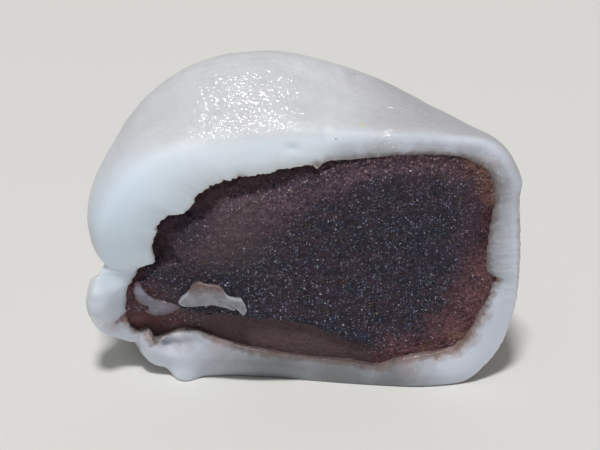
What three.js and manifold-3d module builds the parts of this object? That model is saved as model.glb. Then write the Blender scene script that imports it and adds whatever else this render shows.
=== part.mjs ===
// Half of a round rice cake with a bean paste filling, cut down through its middle and resting on its
// flat underside. A soft white skin wraps a dark paste; the knife has pressed the top edge down,
// folded the seam at the lower left, and left two scraps of skin in the cut face.
// Millimetres, +Z up. The cut face looks towards -Y and the round back towards +Y. The origin is on the
// surface that the cake rests on, below the middle of its bounding box.
import * as THREE from "three";
import { mergeVertices } from "three/addons/utils/BufferGeometryUtils.js";
import Module from "manifold-3d";

const wasm = await Module();
wasm.setup();

// The whole cake before the knife: a dome with a flat base, its middle just behind the cut.
const dome = {
  middleX: -4.4, // the highest part stands left of the cut face's centre
  middleY: 2.9, // the cut misses the middle, so this is the larger half
  equator: 16.8, // height of the widest part
  left: 21.3, // reach from the middle to each side, the top, the back and below
  right: 30.7,
  up: 23.6,
  back: 24.7,
  down: 18.8,
  roundUpperLeft: 2.08, // how square the section is: 2 is an ellipse
  roundUpperRight: 1.86,
  roundLevel: 2.35,
  roundBelow: 3.2,
  roundBack: 2.33,
  roundUnder: 3.4, // the soft cake has settled onto a wide flat underside
};
const skinWall = 4.4; // thickness of the skin round the back
const fitGap = 0.3; // clearance between pieces that touch
const pocketGap = 0.55; // and round the scraps of skin that lie in the paste
const faceX = -0.9; // centre that the cut face's outlines are drawn round
const faceZ = 16.4;
const morphDepth = 12.2; // behind the cut, the pressed outline turns into the dome over this depth

// The lower left of the cut surface lies further back: how far, and where from, to the left and down.
const recess = { depth: 3.8, startX: -3.8, overX: 17, startZ: 24.5, overZ: 21, goneAt: 16 };

// Rounding of the skin's outer edge: everywhere, more along the top, more at the left. And of its inner
// edge: everywhere, more at the top left.
const outerEdge = { least: 1.0, top: 2.0, left: 0.9 };
const innerEdge = { least: 0.4, topLeft: 0.8 };

// The paste's cut surface lies back by a little, sinks under the skin's edge, most at the top left, and
// has a smooth band along its lower side, behind the line where the knife left it.
const pasteFace = { back: 0.2, sink: 0.3, sinkTopLeft: 1.9, sinkFrom: 0.82 };
const ledge = { step: 0.8, soft: 1.4, height: 10.5, slope: 0.355, bendX: -5, endX: 11, fade: 4 };

// Outline of the skin in the cut face, from the right side over the top: x and z.
const skinOutline = [
  [26.5, 18.4], [26.4, 25.4], [25.4, 30.2], [22.6, 32.8], [17.4, 33.8], [4.7, 34.9], [-7.5, 34.2],
  [-16.2, 33.2], [-20.6, 31.0], [-23.1, 27.8], [-24.6, 21.6], [-24.2, 16.3], [-25.5, 13.8],
  [-25.8, 10.6], [-24.9, 7.0], [-22.3, 4.9], [-20.3, 4.0], [-19.9, 2.6], [-18.6, 1.2], [-14.6, -0.1],
  [-6.2, -0.3], [5.0, -0.3], [17.5, 0.0], [22.0, 0.9], [24.6, 4.4], [25.9, 9.8],
];

// Outline of the paste, with the leak into the seam at the lower left and a spur at the right.
const pasteOutline = [
  [22.6, 18.1], [23.1, 22.1], [23.9, 26.4], [22.5, 30.3], [19.1, 31.8], [7.7, 31.6], [-2.9, 29.5],
  [-11.1, 27.6], [-13.1, 25.2], [-14.9, 24.3], [-16.8, 23.1], [-17.7, 20.0], [-17.6, 17.3],
  [-19.5, 15.7], [-20.6, 13.3], [-21.2, 8.9], [-20.5, 7.0], [-17.3, 6.5], [-13.2, 7.1], [-6.4, 6.2],
  [-2.6, 4.6], [4.5, 3.3], [9.6, 2.4], [13.1, 3.9], [16.8, 4.2], [21.6, 8.4], [22.9, 12.2],
  [23.6, 14.2], [22.7, 15.8],
];

// The two scraps of skin that the knife dragged into the paste.
const flap = {
  outline: [
    [-14.8, 10.4], [-13.9, 12.1], [-12.9, 14.0], [-11.2, 14.5], [-9.5, 14.1], [-8.8, 13.2],
    [-7.3, 12.2], [-6.5, 11.0], [-6.9, 9.9], [-7.5, 10.6], [-9.7, 10.8], [-11.8, 10.7],
  ],
  middle: [-10.9, 12.2],
  proud: 0.5, // stands this far out of the cut surface at its top
  lean: 0.28, // and this much more for each millimetre below
  thick: 1.5,
};
const fold = {
  outline: [
    [-20.1, 13.9], [-19.2, 14.1], [-18.3, 12.9], [-17.2, 12.0], [-15.5, 11.4], [-15.4, 9.9],
    [-17.0, 9.3], [-18.6, 9.5], [-19.7, 10.9],
  ],
  middle: [-18.3, 11.2],
  proud: 0.3,
  lean: 0.05,
  thick: 1.6,
};

// Swellings of the skin's cut surface, each with its half widths and height.
const swellings = [
  { x: -23.4, z: 10.8, wide: 2.7, tall: 2.7, height: 1.7 }, // the lobe over the seam
  { x: -18.9, z: 4.4, wide: 1.4, tall: 1.4, height: 1.2 }, // the rolled lip below it
  { x: -15.4, z: 0.8, wide: 2.0, tall: 2.0, height: 2.0 }, // and its foot
  { x: -19.5, z: 26.0, wide: 6.0, tall: 6.0, height: 0.8 }, // the thick top left
  { x: -4.0, z: 0.0, wide: 8.0, tall: 2.8, height: -2.4 }, // the lower edge turns under here
  { x: 15.5, z: 1.5, wide: 7.5, tall: 3.5, height: 1.2 }, // and is pressed out here
];

// Soft crumbs of paste under the skin's edge at the top left.
const lumps = [
  { x: -15.6, z: 21.4, wide: 1.6, tall: 1.5, height: 0.8 },
  { x: -12.6, z: 24.6, wide: 1.5, tall: 1.3, height: 0.7 },
  { x: -9.2, z: 27.0, wide: 1.8, tall: 1.1, height: 0.7 },
  { x: -5.0, z: 28.1, wide: 1.7, tall: 1.0, height: 0.6 },
  { x: -0.6, z: 29.2, wide: 2.1, tall: 1.0, height: 0.5 },
];

const ramp = (t) => THREE.MathUtils.smoothstep(t, 0, 1);

// The summed height of bell-shaped bumps at a point of the cut surface.
function bumps(list, x, z) {
  const part = (b) => b.height * Math.exp(-(((x - b.x) / b.wide) ** 2) - ((z - b.z) / b.tall) ** 2);
  return list.reduce((sum, b) => sum + part(b), 0);
}

// A closed outline seen from a centre inside it: its reach in any direction, and the directions of
// even steps along it, for a loft's columns.
function outlineAbout(outline, centreX, centreZ) {
  const points = outline.map(([x, z]) => new THREE.Vector3(x - centreX, 0, z - centreZ));
  const curve = new THREE.CatmullRomCurve3(points, true, "centripetal");
  const marks = curve.getSpacedPoints(900).slice(1);
  const polar = marks.map((p) => [Math.atan2(p.z, p.x), Math.hypot(p.x, p.z)]);
  polar.sort((a, b) => a[0] - b[0]);
  const turn = 2 * Math.PI;
  polar.push([polar[0][0] + turn, polar[0][1]]);
  const reach = (angle) => {
    const from = polar[0][0];
    const a = from + THREE.MathUtils.euclideanModulo(angle - from, turn);
    const next = polar.findIndex(([mark]) => mark > a);
    const [low, high] = [polar[next - 1], polar[next]];
    return THREE.MathUtils.mapLinear(a, low[0], high[0], low[1], high[1]);
  };
  const steps = (count) => {
    const angles = curve.getSpacedPoints(count).slice(1).map((p) => Math.atan2(p.z, p.x));
    return angles.sort((a, b) => b - a);
  };
  return { reach, steps };
}
const skinEdge = outlineAbout(skinOutline, faceX, faceZ);
const skinReach = skinEdge.reach;
const pasteReach = outlineAbout(pasteOutline, faceX, faceZ).reach;

// The paste's own reach: clear of its cavity to the side as well as outwards.
function clearReach(angle) {
  const aside = fitGap / 12;
  return Math.min(...[-aside, 0, aside].map((a) => pasteReach(angle + a))) - fitGap;
}

// The dome's section in one direction, at the depth of its middle, less an inset.
function domeReach(angle, inset) {
  const side = Math.cos(angle);
  const rise = Math.sin(angle);
  const across = side < 0 ? dome.left : dome.right;
  const high = rise < 0 ? dome.down : dome.up;
  const upper = side < 0 ? dome.roundUpperLeft : dome.roundUpperRight;
  const outer = rise < 0 ? dome.roundBelow : upper;
  const power = THREE.MathUtils.lerp(dome.roundLevel, outer, ramp(Math.abs(rise) * 2));
  const sum = Math.abs(side / across) ** power + Math.abs(rise / high) ** power;
  return sum ** (-1 / power) - inset;
}

// How much the section has shrunk at a depth, and the depth at a share of the way to the pole.
function shrinkAt(angle, depth, inset) {
  const far = Math.abs(depth - dome.middleY) / (dome.back - inset);
  const under = ramp((0.35 - Math.sin(angle)) / 1.2);
  const power = THREE.MathUtils.lerp(dome.roundBack, dome.roundUnder, under);
  return Math.max(0, 1 - far ** power) ** (1 / power);
}
function depthAt(share, inset) {
  const turned = Math.sin((share * Math.PI) / 2) ** (2 / dome.roundBack);
  const bowed = dome.middleY + (dome.back - inset) * turned;
  return THREE.MathUtils.lerp(share * 2 * dome.middleY, bowed, ramp(share * 4));
}

function setback(x, z) {
  const leftward = ramp((recess.startX - x) / recess.overX);
  return recess.depth * leftward * ramp((recess.startZ - z) / recess.overZ);
}

// A point at a direction and depth: the face's outline close to the cut, the dome further in.
function inBody(angle, depth, faceReach, inset) {
  const blend = ramp(depth / morphDepth);
  const body = shrinkAt(angle, depth, inset) * domeReach(angle, inset);
  const reach = THREE.MathUtils.lerp(faceReach, body, blend);
  const x = THREE.MathUtils.lerp(faceX, dome.middleX, blend) + reach * Math.cos(angle);
  const z = THREE.MathUtils.lerp(faceZ, dome.equator, blend) + reach * Math.sin(angle);
  const kept = Math.max(0, 1 - depth / recess.goneAt);
  return [x, depth + setback(x, z) * kept, z];
}

// A point of the cut face itself.
function inFace(angle, reach, depth) {
  const x = faceX + reach * Math.cos(angle);
  const z = faceZ + reach * Math.sin(angle);
  return [x, depth + setback(x, z), z];
}

// Where the skin is thin, its edges are rounded by less.
const topLeftness = (angle) => ramp(-Math.cos(angle + 0.7));
function outerRound(angle) {
  const top = outerEdge.top * ramp(Math.sin(angle + 0.35));
  const most = outerEdge.least + top + outerEdge.left * ramp(-Math.cos(angle));
  return Math.min(most, 0.45 * (skinReach(angle) - pasteReach(angle)));
}
function innerRound(angle) {
  const most = innerEdge.least + innerEdge.topLeft * topLeftness(angle);
  return Math.min(most, 0.3 * (skinReach(angle) - pasteReach(angle)));
}

const onFloor = ([x, y, z]) => [x, y, Math.max(z, 0)];

const swell = ([x, y, z]) => [x, y - bumps(swellings, x, z), z];

// A closed body from rows of points, the first and last row being its two poles.
function loft(angles, rows) {
  const body = new THREE.SphereGeometry(1, angles.length, rows.length - 1);
  const spots = body.getAttribute("position");
  rows.forEach((row, i) => {
    for (let j = 0; j <= angles.length; j += 1) {
      const spot = row(angles[j % angles.length]);
      spots.setXYZ(i * (angles.length + 1) + j, ...spot);
    }
  });
  body.deleteAttribute("normal");
  body.deleteAttribute("uv");
  return mergeVertices(body, 1e-4);
}

const wallRows = [0.1, 0.16, 0.25, 0.4, 0.6, 0.8, 0.93]; // shares of the way from face to back

function skinGeometry() {
  const angles = skinEdge.steps(100);
  const rows = [() => inBody(0, depthAt(1, 0), 0, 0)];
  for (const share of [0.95, 0.88, 0.8, 0.7, 0.6, 0.49, 0.37, 0.26, 0.17, 0.08]) {
    rows.push((angle) => {
      const start = outerRound(angle);
      const depth = start + depthAt(share, 0) * (1 - start / depthAt(1, 0));
      return onFloor(inBody(angle, depth, skinReach(angle), 0));
    });
  }
  for (const turn of [90, 60, 30, 0].map(THREE.MathUtils.degToRad)) {
    rows.push((angle) => {
      const round = outerRound(angle);
      const reach = skinReach(angle) - round * (1 - Math.sin(turn));
      return onFloor(swell(inFace(angle, reach, round * (1 - Math.cos(turn)))));
    });
  }
  for (const share of [0.25, 0.75]) {
    rows.push((angle) => {
      const from = skinReach(angle) - outerRound(angle);
      const to = pasteReach(angle) + innerRound(angle);
      const bow = 0.08 * (from - to);
      return onFloor(swell(inFace(angle, THREE.MathUtils.lerp(from, to, share), -bow)));
    });
  }
  for (const turn of [0, 90].map(THREE.MathUtils.degToRad)) {
    rows.push((angle) => {
      const round = innerRound(angle);
      const reach = pasteReach(angle) + round * (1 - Math.sin(turn));
      return swell(inFace(angle, reach, round * (1 - Math.cos(turn))));
    });
  }
  for (const share of wallRows) {
    rows.push((angle) => inBody(angle, depthAt(share, skinWall), pasteReach(angle), skinWall));
  }
  rows.push(() => inBody(0, depthAt(1, skinWall), 0, skinWall));
  return loft(angles, rows);
}

function pasteDepth(angle, share) {
  const sink = pasteFace.sink + pasteFace.sinkTopLeft * topLeftness(angle);
  const x = faceX + share * pasteReach(angle) * Math.cos(angle);
  const z = faceZ + share * pasteReach(angle) * Math.sin(angle);
  const line = ledge.height - ledge.slope * Math.max(0, x - ledge.bendX);
  const band = ledge.step * ramp((line - z) / ledge.soft) * ramp((ledge.endX - x) / ledge.fade);
  const edge = ramp((share - pasteFace.sinkFrom) / (1 - pasteFace.sinkFrom));
  return pasteFace.back + sink * edge + band - bumps(lumps, x, z);
}

function pasteGeometry() {
  const angles = skinEdge.steps(100);
  const inset = skinWall + 2 * fitGap;
  const rows = [() => inBody(0, depthAt(1, inset), 0, inset)];
  for (const share of wallRows.toReversed()) {
    rows.push((angle) => inBody(angle, depthAt(share, inset), clearReach(angle), inset));
  }
  for (const share of [1, 0.94, 0.87, 0.79, 0.7, 0.6, 0.45, 0.25]) {
    rows.push((angle) => inFace(angle, share * clearReach(angle), pasteDepth(angle, share)));
  }
  rows.push(() => inFace(0, 0, pasteDepth(0, 0)));
  return loft(angles, rows);
}

// A scrap of skin: a soft slab standing a little proud of the paste's cut surface and leaning out at
// its lower side. A grown copy is the pocket that it lies in.
function scrapGeometry({ outline, middle, proud, lean, thick }, grow) {
  const [middleX, middleZ] = middle;
  const edge = outlineAbout(outline, middleX, middleZ);
  const top = Math.max(...outline.map(([, z]) => z));
  const half = thick / 2 + grow;
  const rows = [-90, -62, -34, 0, 34, 62, 90].map((turn) => {
    const [share, out] = slabSection(THREE.MathUtils.degToRad(turn));
    return (angle) => {
      const reach = share * (edge.reach(angle) + grow);
      const x = middleX + reach * Math.cos(angle);
      const z = middleZ + reach * Math.sin(angle);
      return [x, setback(x, z) + thick / 2 - proud - lean * (top - z) - half * out, z];
    };
  });
  return loft(edge.steps(26), rows);
}

// The section of a soft slab: its share of the reach, and how far out of its middle it is.
function slabSection(turn) {
  return [Math.cos(turn) ** 0.4, Math.sign(turn) * Math.abs(Math.sin(turn)) ** 0.7];
}

// Cutting with manifold-3d: a merged geometry becomes a solid, and a solid a geometry.
function solidOf(geometry) {
  return new wasm.Manifold(
    new wasm.Mesh({
      numProp: 3,
      vertProperties: geometry.getAttribute("position").array,
      triVerts: new Uint32Array(geometry.index.array),
    }),
  );
}
function geometryOf(solid) {
  const { vertProperties, triVerts } = solid.getMesh();
  const geometry = new THREE.BufferGeometry();
  geometry.setAttribute("position", new THREE.BufferAttribute(vertProperties, 3));
  geometry.setIndex(new THREE.BufferAttribute(triVerts, 1));
  return geometry;
}

const skinFinish = new THREE.MeshStandardMaterial({ color: 0xd3dae2, roughness: 0.38, metalness: 0 });
const pasteFinish = new THREE.MeshStandardMaterial({ color: 0x433a40, roughness: 0.55, metalness: 0 });
const scrapFinish = new THREE.MeshStandardMaterial({ color: 0xa9a8ae, roughness: 0.35, metalness: 0 });

let paste = solidOf(pasteGeometry());
for (const scrap of [flap, fold]) {
  paste = paste.subtract(solidOf(scrapGeometry(scrap, pocketGap)));
}

const cake = new THREE.Group();
function addPiece(name, geometry, finish) {
  geometry.computeVertexNormals();
  const piece = new THREE.Mesh(geometry, finish);
  piece.name = name;
  cake.add(piece);
}
addPiece("rice_skin", skinGeometry(), skinFinish);
addPiece("bean_paste", geometryOf(paste), pasteFinish);
addPiece("torn_flap", scrapGeometry(flap, 0), scrapFinish);
addPiece("inner_fold", scrapGeometry(fold, 0), scrapFinish);

const middle = new THREE.Box3().setFromObject(cake).getCenter(new THREE.Vector3());
cake.position.set(-middle.x, -middle.y, 0);

const halfRiceCake = new THREE.Group();
halfRiceCake.add(cake);

export default halfRiceCake;
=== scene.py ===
# Half of a filled rice cake, cut down through the middle and standing on its flat underside:
# a soft white rice skin, dark bean paste, and two scraps of skin that the knife dragged along.
import math

import bmesh
import bpy
import numpy as np
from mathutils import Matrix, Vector


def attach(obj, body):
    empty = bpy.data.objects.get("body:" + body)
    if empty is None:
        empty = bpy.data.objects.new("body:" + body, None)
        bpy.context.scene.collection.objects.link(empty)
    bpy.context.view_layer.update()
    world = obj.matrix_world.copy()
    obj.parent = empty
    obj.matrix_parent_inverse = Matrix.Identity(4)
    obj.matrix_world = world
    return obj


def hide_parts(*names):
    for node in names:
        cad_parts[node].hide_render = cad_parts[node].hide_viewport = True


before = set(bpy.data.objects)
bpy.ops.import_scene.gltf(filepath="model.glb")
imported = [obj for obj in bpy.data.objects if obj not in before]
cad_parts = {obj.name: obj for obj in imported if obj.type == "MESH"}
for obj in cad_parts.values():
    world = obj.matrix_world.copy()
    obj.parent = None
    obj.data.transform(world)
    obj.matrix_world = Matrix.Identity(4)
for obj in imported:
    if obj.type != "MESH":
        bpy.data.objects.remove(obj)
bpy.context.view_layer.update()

mm = 0.001
cutToFrame = np.array([-0.378, -13.025, 0.0])  # from the middle of the cut's lower edge to the origin

# the cake's form, in mm: x to the right of the cut face, y into the cake, z up
cake = {
    "middle": (-4.4, 2.9, 16.8),  # of the dome: the cut passes just in front of it
    "left": 21.3,
    "right": 30.7,
    "up": 24.0,
    "back": 24.7,
    "down": 18.8,
    "roundUpperLeft": 2.08,  # 2 is an ellipse, more is squarer
    "roundUpperRight": 1.86,
    "roundLevel": 2.35,
    "roundBelow": 3.2,
    "roundBack": 2.33,
    "roundUnder": 3.4,
    "wall": 4.4,  # thickness of the skin round the back
    "morph": 12.2,  # the pressed cut outline turns into the dome over this depth
    "faceMiddle": (-0.9, 16.4),
    "setback": 3.8,  # of the lower left of the cut
    "setbackEnds": [(-3.8, 17.0), (24.5, 21.0)],  # across and up: where it ends, and over how many mm
    "setbackDepth": 16.0,  # where it has died away inside the cake
}
skinOutline = [
    (26.8, 18.4), (26.7, 22.5), (26.7, 25.2), (27.0, 26.8), (26.2, 29.0), (24.6, 31.9), (22.7, 33.4),
    (17.4, 34.1), (4.7, 34.9), (-7.5, 34.2), (-16.2, 33.2), (-20.6, 31.0), (-23.3, 27.8), (-24.8, 23.0),
    (-25.0, 19.5), (-24.9, 17.5), (-24.7, 16.3), (-24.9, 15.1), (-25.4, 13.4), (-25.8, 11.6),
    (-25.7, 9.3), (-25.1, 7.1), (-24.3, 5.9), (-23.0, 5.2), (-21.4, 4.5), (-20.2, 4.2), (-19.9, 3.6),
    (-19.7, 2.8), (-19.0, 1.9), (-17.9, 1.3), (-16.8, 1.1), (-16.0, 0.5), (-15.4, -0.2), (-14.5, -0.5),
    (-13.0, -0.4), (-6.2, -0.3), (5.0, -0.3), (17.5, 0.0), (20.6, 0.4), (22.8, 2.2), (24.8, 4.9),
    (26.2, 9.3), (26.7, 13.5),
]
pasteOutline = [
    (22.5, 17.5), (22.6, 20.2), (23.0, 23.3), (23.2, 26.0), (22.8, 28.0), (21.8, 29.5), (20.2, 30.5),
    (18.2, 31.2), (11.7, 31.4), (7.0, 31.1), (2.8, 30.6), (2.1, 29.8), (1.4, 30.2), (-2.9, 29.5),
    (-7.0, 28.8), (-9.2, 28.4), (-10.8, 27.6), (-12.0, 26.6), (-12.8, 25.2), (-13.9, 24.3),
    (-15.4, 24.3), (-16.6, 23.2), (-17.4, 20.9), (-17.6, 19.0), (-17.4, 17.5), (-19.4, 16.1),
    (-20.3, 14.2), (-20.6, 11.4), (-20.9, 9.0), (-20.8, 7.2), (-19.9, 6.2), (-18.5, 6.6), (-17.7, 5.3),
    (-17.2, 5.4), (-15.9, 6.3), (-14.3, 7.0), (-12.6, 7.3), (-9.8, 6.3), (-4.7, 5.1), (0.6, 4.0),
    (6.2, 3.3), (9.6, 2.8), (12.0, 3.7), (15.5, 4.4), (18.7, 5.1), (20.7, 7.0), (22.0, 9.9),
    (23.0, 12.0), (23.4, 13.7), (23.9, 14.5), (22.8, 15.4),
]


def ramp(t):
    t = np.clip(t, 0, 1)
    return t * t * (3 - 2 * t)


def startsAt(value, place, over):  # 0 up to the place, 1 from there on, reached over so many mm
    return ramp((value - place) / over)


def endsAt(value, place, over):  # 1 up to so many mm before the place, and 0 from there on
    return ramp((place - value) / over)


def mix(a, b, t):
    return a + (b - a) * t


def bumps(places, x, z):  # bell-shaped bumps: x, z, half width, half height, height
    total = np.zeros_like(x)
    for bx, bz, wide, tall, height in places:
        total = total + height * np.exp(-(((x - bx) / wide) ** 2) - ((z - bz) / tall) ** 2)
    return total


def closedCurve(points, steps=40):  # a smooth closed curve through the points
    p = np.array(points, float)
    knots = np.sqrt(np.linalg.norm(np.roll(p, -1, 0) - p, axis=1))
    curve = []
    for i in range(len(p)):
        a, b, c, d = p[i - 1], p[i], p[(i + 1) % len(p)], p[(i + 2) % len(p)]
        before, here, after = knots[i - 1], knots[i], knots[(i + 1) % len(p)]
        start = ((b - a) / before - (c - a) / (before + here) + (c - b) / here) * here
        end = ((c - b) / here - (d - b) / (here + after) + (d - c) / after) * here
        t = np.linspace(0, 1, steps, endpoint=False)[:, None]
        curve.append(
            b + start * t + (3 * (c - b) - 2 * start - end) * t**2 + (2 * (b - c) + start + end) * t**3
        )
    return np.concatenate(curve)


def reachOf(points, middle):  # distance from the middle to the outline in any direction
    spokes = closedCurve(points) - np.array(middle)
    angles, reaches = np.arctan2(spokes[:, 1], spokes[:, 0]), np.hypot(spokes[:, 0], spokes[:, 1])
    order = np.argsort(angles)
    return lambda a: np.interp(a, angles[order], reaches[order], period=2 * math.pi)


def evenDirections(points, middle, count, density=None):  # even steps along the outline
    curve = closedCurve(points)
    x, z = (curve - np.array(middle)).T
    if (x * np.roll(z, -1) - np.roll(x, -1) * z).sum() < 0:
        curve = curve[::-1]
    lengths = np.linalg.norm(np.roll(curve, -1, 0) - curve, axis=1)
    if density:  # more steps where the detail is fine
        lengths = lengths * density(curve[:, 0], curve[:, 1])
    along = np.concatenate([[0], np.cumsum(lengths)])
    spokes = curve - np.array(middle)
    angles = np.unwrap(np.arctan2(spokes[:, 1], spokes[:, 0]))
    angles = np.maximum.accumulate(np.append(angles, angles[0] + 2 * math.pi))
    return np.interp(np.linspace(0, along[-1], count, endpoint=False), along, angles)[::-1]


def nearLine(points, x, z):  # distance to a line, which side of it (left is +), and how far along
    best = np.full(np.shape(x), 1e9)
    side, along = np.zeros_like(best), np.zeros_like(best)
    for i, ((ax, az), (bx, bz)) in enumerate(zip(points[:-1], points[1:])):
        dx, dz = bx - ax, bz - az
        t = np.clip(((x - ax) * dx + (z - az) * dz) / (dx * dx + dz * dz), 0, 1)
        distance = np.hypot(x - ax - t * dx, z - az - t * dz)
        nearer = distance < best
        best = np.where(nearer, distance, best)
        side = np.where(nearer, np.sign(dx * (z - az) - dz * (x - ax)), side)
        along = np.where(nearer, (i + t) / (len(points) - 1), along)
    return best, side, along


def noiseAt(spots, size, seed):  # soft noise from about -1 to 1, its features about size mm across
    rng = np.random.default_rng(seed)
    order = np.tile(rng.permutation(256), 3)
    slopes = rng.normal(size=(256, 3))
    slopes /= np.linalg.norm(slopes, axis=1)[:, None]
    scaled = np.asarray(spots) / size
    cell = np.floor(scaled).astype(int)
    part = scaled - cell
    fade = part**3 * (part * (part * 6 - 15) + 10)
    total = np.zeros(scaled.shape[:-1])
    for corner in np.ndindex(2, 2, 2):
        i, j, k = ((cell[..., n] + corner[n]) % 256 for n in range(3))
        slope = slopes[order[order[order[i] + j] + k]]
        weight = np.prod([fade[..., n] if corner[n] else 1 - fade[..., n] for n in range(3)], axis=0)
        total += weight * (slope * (part - corner)).sum(-1)
    return total * 1.6


def layered(spots, layers):  # noise in layers: height, width of a bump, seed
    return sum(height * noiseAt(spots, width, seed) for height, width, seed in layers)


skinReach = reachOf(skinOutline, cake["faceMiddle"])
pasteReach = reachOf(pasteOutline, cake["faceMiddle"])


def topLeft(angle):  # 1 towards the top left, 0 at the lower right
    return ramp(-np.cos(angle + 0.7))


def setback(x, z):  # the lower left of the cut lies further back
    (endX, overX), (endZ, overZ) = cake["setbackEnds"]
    return cake["setback"] * endsAt(x, endX, overX) * endsAt(z, endZ, overZ)


def domeReach(angle, inset):  # from the dome's middle to its surface, seen from the cut
    side, rise = np.cos(angle), np.sin(angle)
    across = np.where(side < 0, cake["left"], cake["right"])
    high = np.where(rise < 0, cake["down"], cake["up"])
    upper = np.where(side < 0, cake["roundUpperLeft"], cake["roundUpperRight"])
    outer = np.where(rise < 0, cake["roundBelow"], upper)
    power = mix(cake["roundLevel"], outer, ramp(np.abs(rise) * 2))
    return (np.abs(side / across) ** power + np.abs(rise / high) ** power) ** (-1 / power) - inset


def depthAt(share, inset):  # from the cut at 0 to the back at 1
    turned = np.sin(share * math.pi / 2) ** (2 / cake["roundBack"])
    bowed = cake["middle"][1] + (cake["back"] - inset) * turned
    return mix(share * 2 * cake["middle"][1], bowed, ramp(share * 4))


def inBody(angle, depth, faceReach, inset):  # the cut outline near the front, the dome further in
    blend = ramp(depth / cake["morph"])
    far = np.abs(depth - cake["middle"][1]) / (cake["back"] - inset)
    power = mix(cake["roundBack"], cake["roundUnder"], ramp((0.35 - np.sin(angle)) / 1.2))
    shrink = np.maximum(0, 1 - far**power) ** (1 / power)
    reach = mix(faceReach, shrink * domeReach(angle, inset), blend)
    x = mix(cake["faceMiddle"][0], cake["middle"][0], blend) + reach * np.cos(angle)
    z = mix(cake["faceMiddle"][1], cake["middle"][2], blend) + reach * np.sin(angle)
    kept = np.maximum(0, 1 - depth / cake["setbackDepth"])
    return np.stack([x, depth + setback(x, z) * kept, z], -1)


def inFace(angle, reach, depth):  # at the cut, so far behind its surface
    x = cake["faceMiddle"][0] + reach * np.cos(angle)
    z = cake["faceMiddle"][1] + reach * np.sin(angle)
    return np.stack([x, depth + setback(x, z), z], -1)


def unevenness(spots, layers, parts):  # layers: where it is higher, height, how much higher, width, seed
    lift = np.zeros(len(spots))
    for part, height, more, width, seed in layers:
        lift += (height + more * parts[part]) * noiseAt(spots, width, seed)
    return lift


def spread(value, shape):  # repeated to fill the shape
    return np.broadcast_to(value, shape).copy()


def loftedPiece(name, grid, marks, relief):
    # A flat grid rolled up into a ball, with one ring of vertices for each row of the loft and its
    # poles at the first and last row, then moved onto the loft. The marks are values for each loft
    # point, kept as attributes for the material.
    rows, columns = grid.shape[:2]
    bm = bmesh.new()
    bmesh.ops.create_grid(bm, x_segments=columns, y_segments=rows - 1, size=1)
    seam = [v for v in bm.verts if max(abs(v.co.x), abs(v.co.y)) > 1 - 1e-5]
    for v in bm.verts:
        turn, lean = (v.co.x + 1) * math.pi, (v.co.y + 1) / 2 * math.pi
        v.co = (math.sin(lean) * math.cos(turn), math.sin(lean) * math.sin(turn), math.cos(lean))
    bmesh.ops.remove_doubles(bm, verts=seam, dist=1e-5)
    bmesh.ops.recalc_face_normals(bm, faces=bm.faces)
    unit = np.array([v.co for v in bm.verts])
    row = np.rint(np.arccos(np.clip(unit[:, 2], -1, 1)) / math.pi * (rows - 1)).astype(int)
    column = np.rint(np.arctan2(unit[:, 1], unit[:, 0]) / (2 * math.pi) * columns).astype(int) % columns
    for v, spot in zip(bm.verts, grid[row, column]):
        v.co = spot
    for face in bm.faces:
        face.smooth = True
    mesh = bpy.data.meshes.new(name)
    bm.to_mesh(mesh)
    bm.free()
    spots = grid[row, column]
    normals = np.zeros(len(mesh.vertices) * 3)
    mesh.vertices.foreach_get("normal", normals)
    normals = normals.reshape(-1, 3)
    values = {key: mark[row, column] for key, mark in marks.items()}
    spots = relief(spots, normals, values)
    mesh.vertices.foreach_set("co", ((spots + cutToFrame) * mm).ravel())
    for key, value in values.items():
        mesh.attributes.new(key, "FLOAT", "POINT").data.foreach_set("value", value.astype(np.float32))
    mesh.update()
    piece = bpy.data.objects.new(name, mesh)
    bpy.context.scene.collection.objects.link(piece)
    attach(piece, "root")
    return piece


# materials. Each helper takes and gives a node's output, and sizes are in mm
def newMaterial(name, **sockets):
    material = bpy.data.materials.new(name)
    material.use_nodes = True
    tree = material.node_tree
    shader = tree.nodes["Principled BSDF"]
    for key, value in sockets.items():
        shader.inputs[key.replace("_", " ")].default_value = value
    return material, tree, shader.inputs


def addNode(tree, kind, **settings):
    node = tree.nodes.new(kind)
    for key, value in settings.items():
        setattr(node, key, value)
    return node


def feed(value, socket):  # value: another node's output, a colour or a number
    if isinstance(value, bpy.types.NodeSocket):
        value.id_data.links.new(value, socket)
    elif isinstance(value, tuple):
        socket.default_value = (*value, 1)
    else:
        socket.default_value = value


def objectPoint(tree, scale=(1, 1, 1), turn=(0, 0, 0)):
    place = addNode(tree, "ShaderNodeTexCoord")
    mapping = addNode(tree, "ShaderNodeMapping")
    mapping.inputs["Scale"].default_value = scale
    mapping.inputs["Rotation"].default_value = turn
    feed(place.outputs["Object"], mapping.inputs["Vector"])
    return mapping.outputs["Vector"]


def markNode(tree, name):
    return addNode(tree, "ShaderNodeAttribute", attribute_name=name).outputs["Fac"]


def noiseNode(point, size, detail=3.0, roughness=0.55, output="Fac"):
    node = addNode(point.id_data, "ShaderNodeTexNoise")
    node.inputs["Scale"].default_value = 1 / (size * mm)
    node.inputs["Detail"].default_value = detail
    node.inputs["Roughness"].default_value = roughness
    feed(point, node.inputs["Vector"])
    return node.outputs[output]


def rampNode(value, low, high, toLow=0.0, toHigh=1.0):
    node = addNode(value.id_data, "ShaderNodeMapRange", clamp=True)
    for key, number in zip(("From Min", "From Max", "To Min", "To Max"), (low, high, toLow, toHigh)):
        node.inputs[key].default_value = number
    feed(value, node.inputs["Value"])
    return node.outputs["Result"]


def mathNode(operation, a, b):  # one of the two may be a number
    tree = (b if isinstance(a, (int, float)) else a).id_data
    node = addNode(tree, "ShaderNodeMath", operation=operation)
    feed(a, node.inputs[0])
    feed(b, node.inputs[1])
    return node.outputs["Value"]


def times(a, b):
    return mathNode("MULTIPLY", a, b)


def plus(a, b):
    return mathNode("ADD", a, b)


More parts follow.
